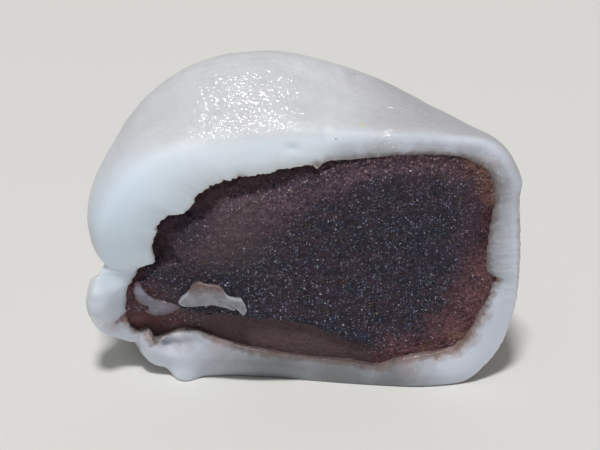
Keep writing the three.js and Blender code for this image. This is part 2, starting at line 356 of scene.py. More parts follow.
def larger(a, b):
    return mathNode("MAXIMUM", a, b)


def inverse(value):
    return mathNode("SUBTRACT", 1.0, value)


def centred(noise, width):  # noise spread evenly about 0
    return times(mathNode("SUBTRACT", noise, 0.5), width)


def mixColour(amount, a, b):
    node = addNode(amount.id_data, "ShaderNodeMix", data_type="RGBA")
    feed(amount, node.inputs["Factor"])
    for socket, colour in zip([s for s in node.inputs if s.type == "RGBA"], (a, b)):
        feed(colour, socket)
    return [s for s in node.outputs if s.type == "RGBA"][0]


def tinted(colour, amount, strength, hue):
    return mixColour(times(amount, strength), colour, hue)


def spotsNode(point, spots, soft):  # 1 inside round spots: x, y, z, radius
    total = None
    wander = noiseNode(point, 1.0)
    for x, y, z, radius in spots:
        node = addNode(point.id_data, "ShaderNodeVectorMath", operation="DISTANCE")
        feed(point, node.inputs[0])
        node.inputs[1].default_value = (np.array((x, y, z)) + cutToFrame) * mm
        distance = plus(node.outputs["Value"], centred(wander, min(radius, 2.2) * 1.2 * mm))
        inside, beyond = radius * (1 - 0.5 * soft), radius * (1 + 0.5 * soft)
        amount = rampNode(distance, inside * mm, beyond * mm, 1.0, 0.0)
        total = larger(total, amount) if total else amount
    return total


def shakenPoint(point, size, shift):  # the point moved a little, so that grains have uneven outlines
    node = addNode(point.id_data, "ShaderNodeVectorMath", operation="MULTIPLY_ADD")
    feed(noiseNode(point, size, 2.0, 0.5, "Color"), node.inputs[0])
    node.inputs[1].default_value = (shift * mm,) * 3
    feed(point, node.inputs[2])
    return node.outputs["Vector"]


def fleckNode(point, size, dullShare, edge):  # small grains, and how pale each one is
    cells = addNode(point.id_data, "ShaderNodeTexVoronoi")
    cells.inputs["Scale"].default_value = 1 / (size * mm)
    feed(point, cells.inputs["Vector"])
    dot = rampNode(cells.outputs["Distance"], *edge, 1.0, 0.0)
    chosen = addNode(point.id_data, "ShaderNodeSeparateColor")
    feed(cells.outputs["Color"], chosen.inputs["Color"])
    grain = times(dot, rampNode(chosen.outputs["Red"], dullShare, 1.0))
    return grain, mathNode("POWER", chosen.outputs["Green"], 1.6)


def bumpNode(height, distance):
    node = addNode(height.id_data, "ShaderNodeBump")
    node.inputs["Distance"].default_value = distance * mm
    feed(height, node.inputs["Height"])
    return node.outputs["Normal"]


# the rice skin
skin = {
    "columns": 740,
    "domeRows": 58,
    "roundRows": 12,
    "bandRows": 22,
    "innerRows": 6,
    "wallDepths": (0.4, 0.8, 1.2, 1.7, 2.3, 3.0),  # rows on the hidden inner wall: first in mm,
    "wallShares": (0.16, 0.25, 0.4, 0.6, 0.8, 0.93),  # then as shares of the way to the back
    "outerEdge": (0.35, 2.7, 2.2),  # rounding: everywhere, more along the top, more at the left
    "innerEdge": (0.1, 0.6),  # rounding: everywhere, more at the top left
    "softening": (6, 30),  # from this many rows behind the cut's edge, and how many passes
    "teethHeight": (0.16, 0.24),  # raggedness of the inner edge: everywhere, more at the top left
    "teeth": [(0.75, 1.3, 21), (0.6, 0.45, 22)],  # share of the height, width, seed
    "serrationHeight": 0.08,  # notches in the outer edge on the right
    "serration": [(1.0, 0.6, 31), (0.6, 0.28, 32)],
    "swellings": [
        (-24.4, 10.4, 2.0, 3.2, 1.7),  # lobe over the seam
        (-22.0, 13.4, 1.6, 1.4, 0.5),
        (-24.7, 13.2, 0.9, 0.8, 0.5),
        (-14.6, -1.4, 2.2, 2.4, 1.6),  # foot below the rolled lip
        (-12.0, -1.6, 3.0, 2.2, 0.9),
        (-19.5, 26.0, 6.0, 6.0, 0.8),  # thick top left
        (-5.0, 0.0, 8.0, 2.8, -2.0),  # the lower edge turns under
        (15.5, 1.5, 7.5, 3.5, 1.3),  # and is pressed out
        (-15.6, 5.0, 1.6, 0.8, -0.9),  # valley right of the lip
        (-13.2, 5.6, 1.4, 0.6, -0.4),
        (-0.9, 32.6, 0.9, 0.4, -0.35),  # nicks in the top band
        (2.1, 30.4, 0.5, 0.5, -0.5),
    ],
    "waist": (19.0, 2.0),  # from this height down, the left side behind the cut lies further in
    "fullness": [(23.0, 3.2, 0.4, 18.0), (11.2, 2.6, 0.3, 7.0)],  # left side: height, half, out, to depth
    "dents": [  # in the top of the dome: x, y, half width, half depth, height
        (6.5, 9.0, 5.0, 8.0, -0.6),
        (20.6, 4.0, 3.6, 6.0, -0.5),
        (5.6, 10.4, 0.7, 1.6, 0.35),
        (-5.0, 9.0, 5.0, 8.0, 0.15),
    ],
    "crease": [(-24.8, 17.1), (-23.4, 16.4), (-21.8, 16.2), (-20.0, 16.5), (-17.4, 17.6)],
    "creaseForm": (0.5, 0.35, 0.7),  # depth, half width, shallower by this share at the end
    "creaseStep": (0.5, 0.8, 2.6),  # the skin below it lies back: depth, reached over, fading over
    "lip": [(-18.3, 6.0), (-18.4, 4.9), (-18.1, 3.8), (-17.3, 2.8), (-15.9, 2.0), (-13.8, 1.4)],
    "lipForm": (1.3, 0.9, 1.6, 0.95),  # radius, wider by, height, lower by this share at the end
    "leak": [(-21.0, 9.0), (-21.9, 8.5), (-22.6, 7.8), (-23.2, 7.3)],  # a crack that paste fills
    "leakForm": (0.4, 0.35),  # depth, half width
    "unevenness": [
        ("behind", 0.11, 0.16, 8.0, 0),
        ("behind", 0.04, 0.05, 2.4, 7),
        ("outside", 0.012, 0.026, 0.85, 3),
    ],
    "ridges": 0.065,  # height of the knife's ridges on the thin right side
    "outerColour": (0.63, 0.648, 0.68),
    # painted shade: the shaded colours darken the right of the dome and the thin right, lower and lower left
    # parts of the cut, where thin skin over the dark paste also darkens it
    "outerShadedColour": (0.455, 0.46, 0.498),
    "cutColour": (0.72, 0.79, 0.86),
    "cutThinAndShadedColour": (0.64, 0.685, 0.78),
    # painted shade for the lower edge
    "lowShadeColour": (0.15, 0.15, 0.15),
    "fringeColour": (0.40, 0.345, 0.33),
    "smearColour": (0.31, 0.215, 0.18),
    # painted shade beside the paste, with the paste also showing through the skin
    "nearShadeColour": (0.30, 0.30, 0.325),
    "stainColour": (0.10, 0.052, 0.046),
    "creamColour": (0.86, 0.76, 0.68),
    "clearColour": (0.50, 0.50, 0.53),
    # colour of the painted glints on wet grains
    "paintedGlintColour": (0.98, 0.98, 1.0),
    "besidePaste": {  # mm from the paste where each tint begins to fade and where it ends, and its strength
        "fringe": (0.1, 0.9, 0.7),
        "cream": (0.0, 0.45, 0.6),
        "smear": (1.5, 3.1, 0.85),
        "near": (0.2, 3.4, 0.95),
        "stain": (-0.2, 0.95, 0.85),
        "wet": (0.3, 0.9, 1.0),
    },
    "tints": [  # places, softness of their edge, strength, colour
        # painted cool shade: a bluer tint on the left of the cut
        ("bluePlaces", 1.9, 0.6, (0.70, 0.83, 1.0)),
        ("blushes", 1.3, 0.4, (0.40, 0.29, 0.30)),
        ("domeStains", 1.2, 0.5, (0.25, 0.13, 0.09)),
        ("leaks", 0.5, 0.85, (0.20, 0.08, 0.065)),
        ("yellowSpecks", 0.6, 0.45, (0.66, 0.58, 0.30)),
        ("darkSpecks", 0.5, 0.85, (0.04, 0.035, 0.04)),
    ],
    "paintedWetGlints": (0.42, 0.4, (0.14, 0.34)),  # painted glints on wet grains: size, share that stays dull, edge
    "paintedGlintShares": (0.6, 0.22),  # where the painted glints show: in the wet places, all over the outside
    "cloudSize": 5.0,  # of each pattern, in mm
    "raggedEdge": (0.7, 1.2),  # size of its teeth, how far it strays
    "grainSize": 0.35,
    "grainHeight": 0.02,
    "beadSize": 0.5,
    "beadHeight": 0.15,
    "lowShadeStrength": 0.78,
    # places: x, y, z, radius
    # painted shade along the lower edge, darker towards the floor
    "lowShadePatches": [(-3.0, 2.0, 2.2, 7.0), (5.6, 1.2, 1.8, 7.5), (11.0, -0.4, 1.4, 4.4)],
    "leaks": [
        (-20.9, 3.6, 8.6, 0.9), (-21.6, 2.8, 8.5, 0.65), (-22.2, 2.6, 8.0, 0.5), (-22.8, 2.5, 7.5, 0.35),
        (23.9, 0.3, 14.4, 0.45), (24.6, 0.2, 14.5, 0.3), (-16.6, 2.9, 6.3, 0.5),
    ],
    "blushes": [
        (-22.6, 2.4, 7.6, 1.1), (-16.6, 2.6, 5.2, 0.9), (-15.3, 2.3, 4.7, 0.8), (-14.0, 2.0, 5.2, 0.8),
        (-18.6, 2.2, 6.3, 0.7), (-9.8, 1.5, 5.5, 1.2), (13.5, -0.6, 3.4, 1.3), (10.6, 0.2, 2.9, 0.9),
        (18.5, -0.2, 5.0, 0.9),
    ],
    "smears": [
        (23.4, 0.2, 27.0, 2.2), (22.4, 0.2, 29.6, 1.8), (20.4, 0.0, 5.6, 2.4), (22.6, 0.2, 8.6, 1.6),
        (17.0, -0.4, 4.4, 1.8), (2.6, 0.4, 30.6, 1.0), (-6.8, 0.6, 29.4, 0.6),
    ],
    "beadPlaces": [
        (-13.2, 2.6, 33.6, 3.4), (-9.0, 4.4, 35.6, 5.0), (-4.4, 4.6, 36.4, 3.0), (6.0, 5.6, 37.0, 2.8),
        (12.6, 2.8, 35.0, 2.8), (1.0, 8.0, 38.6, 1.6), (-2.0, 24.0, 28.0, 4.0), (-21.0, 12.0, 24.0, 2.6),
    ],
    # painted shade beside the paste, with the paste also showing through the skin
    "greyShadePlaces": [
        (24.0, 0.2, 27.0, 4.2), (24.2, 0.2, 22.0, 4.5), (24.2, 0.2, 17.5, 3.6), (20.0, 0.2, 32.0, 2.6),
        (15.0, 0.2, 32.2, 2.8), (9.5, 0.2, 32.0, 3.0), (5.6, 0.2, 31.4, 2.4),
    ],
    # painted cool shade: a bluer tint on the left of the cut
    "bluePlaces": [(-21.5, 0.4, 23.5, 6.0), (-20.5, 2.0, 18.6, 4.0)],
    "domeStains": [(18.4, 8.2, 32.9, 0.8), (19.6, 7.6, 32.2, 0.6)],
    "darkSpecks": [(7.1, 10.5, 37.2, 0.16), (4.2, 0.2, 33.7, 0.13), (-14.1, 1.9, 5.3, 0.16)],
    "yellowSpecks": [(7.5, 1.7, 34.8, 0.35), (-14.6, 2.4, 6.5, 0.18)],
    # wet coat, and the painted glints beside the paste
    "wetAndGlintPlaces": [
        (-15.2, 2.2, 5.4, 2.0), (-18.2, 1.8, 4.6, 1.3), (-12.0, 1.8, 7.2, 1.0), (-9.8, 1.6, 6.6, 0.8),
        (24.2, 0.2, 13.0, 1.6), (21.8, 0.1, 7.6, 1.2), (17.6, -0.2, 4.8, 1.6), (14.0, -0.6, 3.8, 1.6),
        (-24.6, 1.2, 13.0, 1.8), (-24.6, 2.0, 8.6, 1.6), (22.9, 0.2, 30.0, 1.6), (10.0, 0.3, 32.6, 1.5),
        (-5.7, 0.9, 5.2, 1.0), (4.6, 6.0, 36.7, 1.4), (5.9, 6.8, 37.0, 1.0), (9.4, 3.4, 35.4, 1.0),
        (11.4, 2.0, 34.8, 1.3),
    ],
}


def skinDensity(x, z):  # how closely the loft's columns lie where the outline has fine detail
    right = startsAt(x, 20, 2) * endsAt(z, 29, 2) * startsAt(z, 2, 2)
    lowerLeft = endsAt(x, -10, 4) * endsAt(z, 19, 3)
    upperLeft = endsAt(x, 6, 6) * startsAt(z, 19, 3)
    return 1 + 2.2 * right + 2.0 * lowerLeft + 0.7 * upperLeft


def skinEdges(angle):  # the cut's outer and inner edge, how wide each is rounded, and where it folds
    outer, inner = skinReach(angle), pasteReach(angle)
    edgeSpots = inFace(angle, outer, 0.0)
    x, z = edgeSpots[:, 0], edgeSpots[:, 2]
    notches = layered(edgeSpots * (0, 0, 1), skin["serration"])
    outer = outer + skin["serrationHeight"] * (startsAt(x, 20, 3) * endsAt(z, 29, 3)) * notches
    folds = endsAt(x, -12, 3) * endsAt(z, 17, 1.5)
    least, top, left = skin["outerEdge"]
    outerRound = least + top * ramp(np.sin(angle + 0.35)) + left * ramp(-np.cos(angle))
    outerRound = np.minimum(outerRound * (1 - 0.55 * folds), 0.55 * (outer - inner))
    least, more = skin["innerEdge"]
    innerRound = np.minimum(least + more * topLeft(angle), 0.3 * (outer - inner))
    least, more = skin["teethHeight"]
    inner = inner + layered(inFace(angle, inner, 0.0), skin["teeth"]) * (least + more * topLeft(angle))
    return outer, inner, outerRound, innerRound, folds


def skinRows(angle, outer, inner, outerRound, innerRound):  # from the back, over the edge, to the inside
    rows, cut, fromPaste = [], [], []

    def addRow(spots, cutAmount, distance):  # distance from the paste's edge, in mm
        rows.append(spread(spots, (len(angle), 3)))
        cut.append(spread(cutAmount, len(angle)))
        fromPaste.append(spread(distance, len(angle)))

    farOff = 20.0
    edgeDepth = outerRound * 1.25
    farthest = depthAt(1.0, 0)
    addRow(inBody(angle, farthest, outer, 0).mean(0), 0.0, farOff)
    for share in np.linspace(0.985, 0.0, skin["domeRows"]):
        depth = edgeDepth + depthAt(share, 0) * (1 - edgeDepth / farthest)
        addRow(inBody(angle, depth, outer, 0), 0.0, farOff)
    edgeRow = len(rows)
    start, corner = inBody(angle, edgeDepth, outer, 0), inFace(angle, outer, 0.0)
    end = inFace(angle, outer - outerRound, 0.0)
    for t in np.linspace(0, 1, skin["roundRows"] + 1)[1:]:
        spots = start * (1 - t) ** 2 + corner * (2 * t * (1 - t)) + end * t**2
        addRow(spots, startsAt(t, 0.25, 0.6), outer - outerRound * t * t - inner)
    wide = outer - outerRound - inner - innerRound
    for share in np.linspace(0, 1, skin["bandRows"] + 2)[1:-1]:
        reach = inner + innerRound + wide * (1 - share)
        addRow(inFace(angle, reach, -0.3 * share * (1 - share) * wide), 1.0, reach - inner)
    innerRow = len(rows)
    for turn in np.radians(np.linspace(0, 90, skin["innerRows"])):
        reach = inner + innerRound * (1 - math.sin(turn))
        spots = inFace(angle, reach, innerRound * (1 - math.cos(turn)))
        addRow(spots, 1.0, reach - inner)
    wallRow = len(rows)
    wall = cake["wall"]
    for depth in skin["wallDepths"]:
        addRow(inBody(angle, innerRound + depth, inner, wall), 1.0, 0.0)
    for share in skin["wallShares"]:
        addRow(inBody(angle, depthAt(share, wall), inner, wall), 1.0, 0.0)
    addRow(inBody(angle, depthAt(1.0, wall), inner, wall).mean(0), 1.0, 0.0)
    return np.array(rows), np.array(cut), np.array(fromPaste), (edgeRow, innerRow, wallRow)


def pressed(spots):  # bulges and folds in the surface that the knife made
    x, z = spots[..., 0], spots[..., 2]
    push = -bumps(skin["swellings"], x, z)
    distance, side, along = nearLine(skin["crease"], x, z)
    deep, half, fade = skin["creaseForm"]
    push += deep * np.exp(-((distance / half) ** 2)) * (1 - fade * along)
    deep, over, fadeOver = skin["creaseStep"]
    below = np.where(side < 0, distance, 0)
    push += deep * ramp(below / over) * np.exp(-below / fadeOver)
    distance, _, along = nearLine(skin["lip"], x, z)
    radius, wider, high, lower = skin["lipForm"]
    over = np.clip(1 - (distance / (radius + wider * along)) ** 2, 0, 1)
    push -= high * np.sqrt(over) * (1 - lower * along)
    distance, _, along = nearLine(skin["leak"], x, z)
    deep, half = skin["leakForm"]
    push += deep * np.exp(-((distance / half) ** 2)) * (1 - along)
    return push


def narrowed(grid):  # the left side folds in at the height of the crease
    x, y, z = (grid[..., n] for n in range(3))
    height, inward = skin["waist"]
    start = mix(5.0, 1.2, startsAt(z, 12.5, 3))
    behind = startsAt(y, start, 3) * endsAt(y, 27, 18)
    shift = inward * endsAt(z, height, 3.5) * startsAt(z, 4, 5) * behind * endsAt(x, -16, 9)
    for height, half, out, depth in skin["fullness"]:
        bulge = np.exp(-(((z - height) / half) ** 2)) * endsAt(x, -18, 4)
        shift -= out * bulge * endsAt(y, depth, 6)
    return shift


def skinRelief(spots, normals, values):
    x, y, z = spots.T
    parts = {"behind": startsAt(y, 3, 6), "outside": 1 - values["cut"]}
    lift = unevenness(spots, skin["unevenness"], parts)
    ridge = noiseAt(spots * (0.2, 0.2, 1), 0.55, 11) + 0.6 * noiseAt(spots * (0.15, 0.15, 1), 0.28, 5)
    lift += skin["ridges"] * startsAt(x, 20.5, 4) * endsAt(y, 4, 3) * startsAt(z, 8, 8) * ridge
    lift += parts["outside"] * startsAt(z, 28, 6) * bumps(skin["dents"], x, y)
    lift *= startsAt(z, 0, 1.5)  # none where it rests
    moved = spots + normals * lift[:, None]
    moved[:, 2] = np.maximum(moved[:, 2], 0)
    return moved


def makeSkin():
    angle = evenDirections(skinOutline, cake["faceMiddle"], skin["columns"], skinDensity)
    *edges, folds = skinEdges(angle)
    grid, cut, fromPaste, (edgeRow, innerRow, wallRow) = skinRows(angle, *edges)
    soft = mix(0.03, 1.0, ramp(0.75 - 0.9 * np.cos(angle))) * (1 - 0.85 * folds)
    soft = soft[:, None]
    behindEdge, passes = skin["softening"]
    first = edgeRow - behindEdge
    for _ in range(passes):  # the cut's outer edge is soft, most at the left
        here, before, after = (grid[first + n : innerRow + n] for n in (0, -1, 1))
        grid[first:innerRow] = here + soft * (0.25 * (before + after) - 0.5 * here)
    push = pressed(grid)
    push[:edgeRow] *= 1 - startsAt(grid[:edgeRow, :, 1], grid[edgeRow, :, 1], 3.0)
    push[wallRow:] = 0
    grid[..., 1] += push
    shift = narrowed(grid)
    shift[wallRow:] = 0
    grid[..., 0] += shift
    grid[..., 2] = np.maximum(grid[..., 2], 0)
    x, z = grid[..., 0], grid[..., 2]
    # painted shade: darker to the right and towards the bottom, partly because the skin is thin there over
    # the paste
    thinAndShadedBand = np.maximum(startsAt(x, -3, 20), endsAt(z, 17.5, 7))
    marks = {
        "cut": cut,
        "fromPaste": fromPaste,
        "flush": np.broadcast_to(1 - topLeft(angle), grid.shape[:2]),
        "thinAndShaded": mix(startsAt(x, 3, 10), thinAndShadedBand, cut),
    }
    piece = loftedPiece("riceSkin", grid, marks, skinRelief)
    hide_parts("rice_skin")
    piece.data.materials.append(riceDough())
    print("rice skin", len(piece.data.vertices), "vertices")


def riceDough():
    material, tree, inputs = newMaterial(
        "steamedRiceDough",
        Subsurface_Weight=0.9,
        Subsurface_Radius=(1.0, 0.95, 0.9),
        Subsurface_Scale=2.0 * mm,
        Coat_Roughness=0.07,
        Coat_IOR=1.4,
        Specular_IOR_Level=0.25,
        IOR=1.4,
    )
    point = objectPoint(tree)
    # darker on the right and low down: painted shade, and thin skin over the dark paste
    cut, thinAndShaded = markNode(tree, "cut"), markNode(tree, "thinAndShaded")
    outside = mixColour(thinAndShaded, skin["outerColour"], skin["outerShadedColour"])
    face = mixColour(thinAndShaded, skin["cutColour"], skin["cutThinAndShadedColour"])
    colour = mixColour(cut, outside, face)
    cloud = noiseNode(point, skin["cloudSize"], detail=4.0, roughness=0.6)
    cloud = rampNode(cloud, 0.42, 0.64, toHigh=0.3)
    cloud = times(cloud, inverse(times(cut, 0.85)))
    colour = mixColour(cloud, colour, skin["clearColour"])
    # the paste has stained the skin next to it, in a ragged line and a paler fringe
    toothSize, stray = skin["raggedEdge"]
    distance = plus(markNode(tree, "fromPaste"), centred(noiseNode(point, toothSize), stray))
    flush = rampNode(markNode(tree, "flush"), 0.2, 0.9, 0.12, 1.0)

    def beside(tint, distance):
        fadeFrom, end, strength = skin["besidePaste"][tint]
        return rampNode(distance, fadeFrom, end, strength, 0.0)

    colour = mixColour(times(beside("fringe", distance), flush), colour, skin["fringeColour"])
    cream = times(beside("cream", distance), inverse(flush))
    colour = mixColour(cream, colour, skin["creamColour"])
    smeared = plus(distance, times(noiseNode(point, 1.6), 2.4))
    smear = times(beside("smear", smeared), spotsNode(point, skin["smears"], 1.2))
    colour = mixColour(smear, colour, skin["smearColour"])
    # painted shade along the lower edge, darkest towards the floor, where the thin skin also lets the paste
    # darken it
    low = spotsNode(point, skin["lowShadePatches"], 1.4)
    colour = tinted(colour, low, skin["lowShadeStrength"], skin["lowShadeColour"])
    # painted shade: the skin beside the paste darker grey in some places, partly the paste showing through
    near = times(beside("near", distance), flush)
    near = times(near, spotsNode(point, skin["greyShadePlaces"], 1.2))
    colour = mixColour(near, colour, skin["nearShadeColour"])
    stain = times(times(beside("stain", distance), flush), rampNode(thinAndShaded, 0.3, 0.9))
    colour = mixColour(stain, colour, skin["stainColour"])
    for places, soft, strength, hue in skin["tints"]:
        colour = tinted(colour, spotsNode(point, skin[places], soft), strength, hue)
    # painted glints: pale flecks for wet grains catching the light, in a few places beside the paste, and
    # faint ones all over the outside
    paintedWetGlints, _ = fleckNode(point, *skin["paintedWetGlints"])
    glossy = spotsNode(point, skin["wetAndGlintPlaces"], 1.2)
    inWet, outside = skin["paintedGlintShares"]
    share = rampNode(cut, 0.0, 0.5, outside, 0.0)
    share = larger(times(glossy, inWet), share)
    colour = mixColour(times(paintedWetGlints, share), colour, skin["paintedGlintColour"])
    feed(colour, inputs["Base Color"])
    grain = noiseNode(point, skin["grainSize"], detail=4.0, roughness=0.6)
    feed(rampNode(grain, 0.3, 0.7, 0.3, 0.5), inputs["Roughness"])
    feed(bumpNode(grain, skin["grainHeight"]), inputs["Normal"])
    # wet beads on the outside, and a wet line along the paste
    tilted = objectPoint(tree, (0.75, 1, 1), (0, 0.4, 0))
    beads = addNode(tree, "ShaderNodeTexVoronoi", feature="SMOOTH_F1")
    beads.inputs["Scale"].default_value = 1 / (skin["beadSize"] * mm)
    beads.inputs["Smoothness"].default_value = 0.5
    feed(tilted, beads.inputs["Vector"])
    uneven = times(noiseNode(tilted, 1.1, detail=2.0), 0.9)
    domed = times(mathNode("POWER", beads.outputs["Distance"], 2.0), -1.0)
    height = plus(domed, uneven)
    patchy = rampNode(spotsNode(point, skin["beadPlaces"], 1.8), 0.0, 0.6, 0.12, 1.0)
    wet = times(rampNode(noiseNode(tilted, 0.8), 0.37, 0.47), patchy)
    wet = times(wet, rampNode(cut, 0.0, 0.3, 1.0, 0.06))
    weeping = larger(times(beside("wet", distance), flush), glossy)
    feed(larger(wet, weeping), inputs["Coat Weight"])
    feed(bumpNode(height, skin["beadHeight"]), inputs["Coat Normal"])
    return material


# the bean paste
paste = {
    "columns": 480,
    "edgeRows": 44,
    "innerRows": 92,
    "fineTo": 0.8,  # rows lie closer from the edge to this share of the way out
    "lastShare": 0.006,  # of the innermost row
    "backShares": (0.93, 0.8, 0.6, 0.4, 0.25, 0.16, 0.12),  # rows on the hidden back, of the way to its end
    "sunk": 0.2,  # behind the skin's cut face
    "overlap": 0.5,  # into the skin at the cut, so that no gap shows
    "overlapBehind": 0.3,
    "drawnBack": 2.2,  # from the cut, at the top left
    "drawnBackWidth": (0.6, 3.0),  # everywhere, more at the top left
    "wander": [(0.6, 1.8, 4), (0.25, 0.6, 9)],  # how its lines and limits stray
    "unevenness": [
        ("recess", 0.03, 0.3, 1.1, 6),
        ("crumbly", 0.02, 0.1, 0.55, 12),
        ("band", 0.045, -0.02925, 0.4, 8),
    ],
    # the knife's last line: below it the paste is torn and lies deeper
    "ledgeLine": [(-20.0, 10.2), (-8.7, 10.2), (-3.6, 9.7), (1.7, 9.0), (5.4, 7.2), (10.1, 5.7), (13.0, 4.4)],
    "ledgeDrop": 0.8,
    "lumps": [
        (-19.6, 9.0, 1.8, 1.6, 1.3),
        (-20.6, 13.5, 0.9, 2.0, 0.5),
        (-15.6, 21.4, 1.6, 1.5, 0.8),
        (-12.6, 24.6, 1.5, 1.3, 0.7),
        (-9.2, 27.0, 1.8, 1.1, 0.7),
        (-5.0, 28.1, 1.7, 1.0, 0.6),
        (-0.6, 29.2, 2.1, 1.0, 0.5),
    ],
    "navyColour": (0.026, 0.029, 0.054),
    "brownColour": (0.066, 0.041, 0.042),
    "plumColour": (0.064, 0.035, 0.062),
    "edgeColour": (0.082, 0.020, 0.024),
    "hazeColour": (0.185, 0.112, 0.155),
    "leftColour": (0.125, 0.086, 0.092),
    "bandColour": (0.124, 0.079, 0.086),
    "recessColour": (0.092, 0.052, 0.070),
    "pitColour": (0.006, 0.004, 0.006),
    "paleColour": (0.215, 0.095, 0.105),
    "creamColour": (0.30, 0.15, 0.12),
    "redColour": (0.16, 0.058, 0.060),
    # colours of the painted glints
    "paleGlint": (0.88, 0.90, 1.0),
    "coolGlint": (0.21, 0.25, 0.44),
    "warmGlint": (0.70, 0.52, 0.52),
    "coolWarmGlint": (0.30, 0.17, 0.25),
    "crumbColour": (0.58, 0.42, 0.41),
    "markTints": [  # mark on the surface, is its edge ragged, strength, colour
        ("left", False, 0.66, "leftColour"),
        ("haze", True, 0.8, "hazeColour"),
        ("edge", True, 0.95, "edgeColour"),
        ("band", False, 0.95, "bandColour"),
        # painted shade along the knife's last line
        ("ledge", True, 0.9, "navyColour"),
        ("recess", False, 0.8, "recessColour"),
    ],
    "stretchTints": [  # places, softness of their edge, strength, colour
        ("paleStretches", 1.4, 0.78, "paleColour"),
        ("darkStretches", 1.6, 0.5, "navyColour"),
        ("creamStretches", 1.6, 0.75, "creamColour"),
        ("redStretches", 1.3, 0.7, "redColour"),
    ],
    # where fewer painted glints show
    "dulled": [("left", 0.45), ("edge", 0.1), ("paleStretches", 0.15), ("redStretches", 0.3)],
    "streakSize": 0.9,
    "streakStretch": 0.16,
    "clusterSize": 1.0,
    "plumSize": 3.0,
    "brokenSize": 0.9,  # of the ragged edges
    "pitSize": 0.4,
    "grainSize": 0.25,
    "lumpSize": 0.55,
    "grainHeight": 0.2,
    "shaken": (0.35, 0.3),  # grains: over what size, how far
    "glintEdge": (0.14, 0.34),
    "paintedGlintFlecks": [(0.46, 0.58), (0.32, 0.42), (0.23, 0.32)],  # painted glints: size in mm, share of grains that stay dull
    "crumbs": (0.5, 0.2, (0.16, 0.38)),  # size, share that stays dull, edge
    # places: x, y, z, radius
    "paleStretches": [
        (21.5, -0.1, 12.2, 3.2), (18.6, -0.1, 7.6, 2.8), (12.0, -0.1, 4.6, 2.2), (22.2, -0.1, 15.8, 2.2),
    ],
    "darkStretches": [(16.0, -0.1, 20.5, 4.0), (-12.4, 0.8, 22.4, 1.8), (-7.0, 0.6, 14.0, 3.0)],
    "redStretches": [
        (-19.6, 3.2, 8.2, 2.2), (-17.2, 3.0, 7.4, 1.6), (-15.2, 2.8, 8.0, 1.3), (-19.6, 3.6, 15.0, 1.3),
        (-18.2, 3.2, 13.4, 1.6),
    ],
    "creamStretches": [
        (22.9, 0.1, 25.6, 0.9), (22.9, 0.1, 27.6, 1.4), (22.0, 0.1, 29.4, 1.2), (20.4, 0.1, 30.4, 0.9),
        (15.6, -0.6, 4.6, 1.1), (19.4, -0.2, 6.2, 1.0),
    ],
    # where the painted glints are kept
    "wetAndGlintPlaces": [
        (-15.0, 3.0, 8.4, 1.7), (-12.5, 2.6, 8.2, 1.2), (3.4, 1.0, 28.6, 2.0), (7.5, 0.4, 30.0, 1.5),
        (12.0, 0.2, 30.4, 1.5), (15.4, 0.2, 30.2, 1.3), (18.4, 0.2, 30.2, 1.3), (21.6, 0.2, 28.2, 1.5),
        (-7.0, 0.6, 25.6, 1.4), (-2.6, 0.6, 26.6, 1.6),
    ],
    "crumbPlaces": [
        (4.0, 0.2, 28.9, 1.6), (7.2, 0.2, 29.6, 1.5), (10.2, 0.2, 30.2, 1.4), (13.4, 0.2, 30.0, 1.5),
        (17.0, 0.2, 29.9, 1.4), (20.8, 0.2, 29.0, 1.4), (22.5, 0.2, 26.4, 1.2), (-4.6, 0.6, 26.0, 1.2),
        (-1.6, 0.6, 27.2, 1.3), (22.6, 0.1, 14.2, 1.0),
    ],
}


def pasteRows(angle, edge):  # from the back, round the edge, to the middle of the cut
    inset = cake["wall"] - paste["overlapBehind"]
    deepInside, middle = -5.0, 18.0  # distances from the edge of the rows where it plays no part
    rows, fromEdge = [], []

    def addRow(spots, distance):
        rows.append(spread(spots, (len(angle), 3)))
        fromEdge.append(spread(distance, len(angle)))

    addRow(inBody(angle, depthAt(1.0, inset), edge, inset).mean(0), deepInside)
    for share in paste["backShares"]:
        addRow(inBody(angle, depthAt(share, inset), edge, inset), deepInside)
    fine, last = paste["fineTo"], paste["lastShare"]
    nearEdge = np.linspace(1, fine, paste["edgeRows"], endpoint=False)
    for share in np.concatenate([nearEdge, np.linspace(fine, last, paste["innerRows"])]):
        reach = share * edge
        addRow(inFace(angle, reach, paste["sunk"]), pasteReach(angle) - reach)
    addRow(inFace(angle, 0.0, paste["sunk"]).mean(0), middle)
    return np.array(rows), np.array(fromEdge)


def pasteRelief(spots, normals, values):
    knife = spots.copy()  # its streaks bend down to the right
    knife[:, 2] -= 0.006 * np.maximum(0, spots[:, 0] - 2) ** 2
    streaks = 0.09 * noiseAt(knife * (0.1, 1, 1), 0.9, 0) + 0.05 * noiseAt(knife * (0.14, 1, 1), 0.35, 2)
    parts = dict(values, crumbly=np.maximum(values["recess"], values["rim"]))
    lift = unevenness(spots, paste["unevenness"], parts)
    lift += (1 - values["band"]) * (1 - values["recess"]) * streaks
    return spots + normals * lift[:, None]


